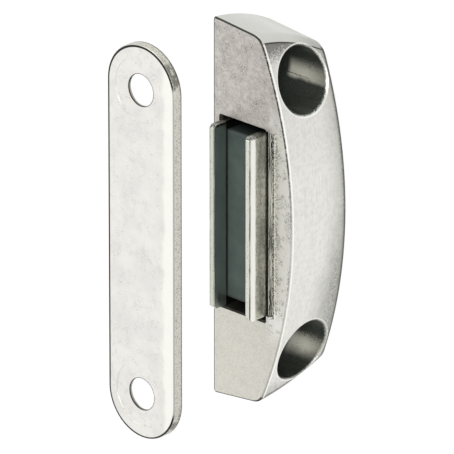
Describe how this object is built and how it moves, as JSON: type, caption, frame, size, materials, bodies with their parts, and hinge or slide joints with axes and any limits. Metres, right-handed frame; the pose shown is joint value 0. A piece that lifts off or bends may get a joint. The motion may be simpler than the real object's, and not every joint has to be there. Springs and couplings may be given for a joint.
{
  "type": "magnetic catch",
  "caption": "Magnetic cupboard catch: a bow-shaped cast housing with a magnet that rocks between steel pole plates, and a separate round-ended strike plate for the door.",
  "frame": {"origin": "centre of the housing's flat mounting face, midway between its two screw holes", "axes": "+X leaves the mounting face, -Y is the way the pole plates face, +Z runs along the housing"},
  "size_m": [0.0157, 0.033, 0.0615],
  "materials": {
    "plated_zinc": "nickel plated die casting, satin",
    "plated_steel": "nickel plated, satin",
    "ferrite": "dark slate grey, matt, sintered",
    "bare_steel": "ground",
    "strike_steel": "zinc plated, satin"
  },
  "bodies": {
    "housing_body": {"housing": "plated_zinc", "pivot_pin": "bare_steel"},
    "magnet_pack": {"inner_pole_plate": "plated_steel", "magnet": "ferrite", "outer_pole_plate": "plated_steel"},
    "strike": {"strike_plate": "strike_steel"}
  },
  "joints": [
    {"name": "pack_rock", "type": "hinge", "parent": "housing_body", "child": "magnet_pack", "pos_m": [0.0062, 0.0012, -0.00015], "axis": [1, 0, 0], "range_deg": [-1, 1]},
    {"name": "strike_approach", "type": "slide", "parent": "housing_body", "child": "strike", "axis": [0, 1, 0], "range_m": [0, 0.01635]}
  ]
}
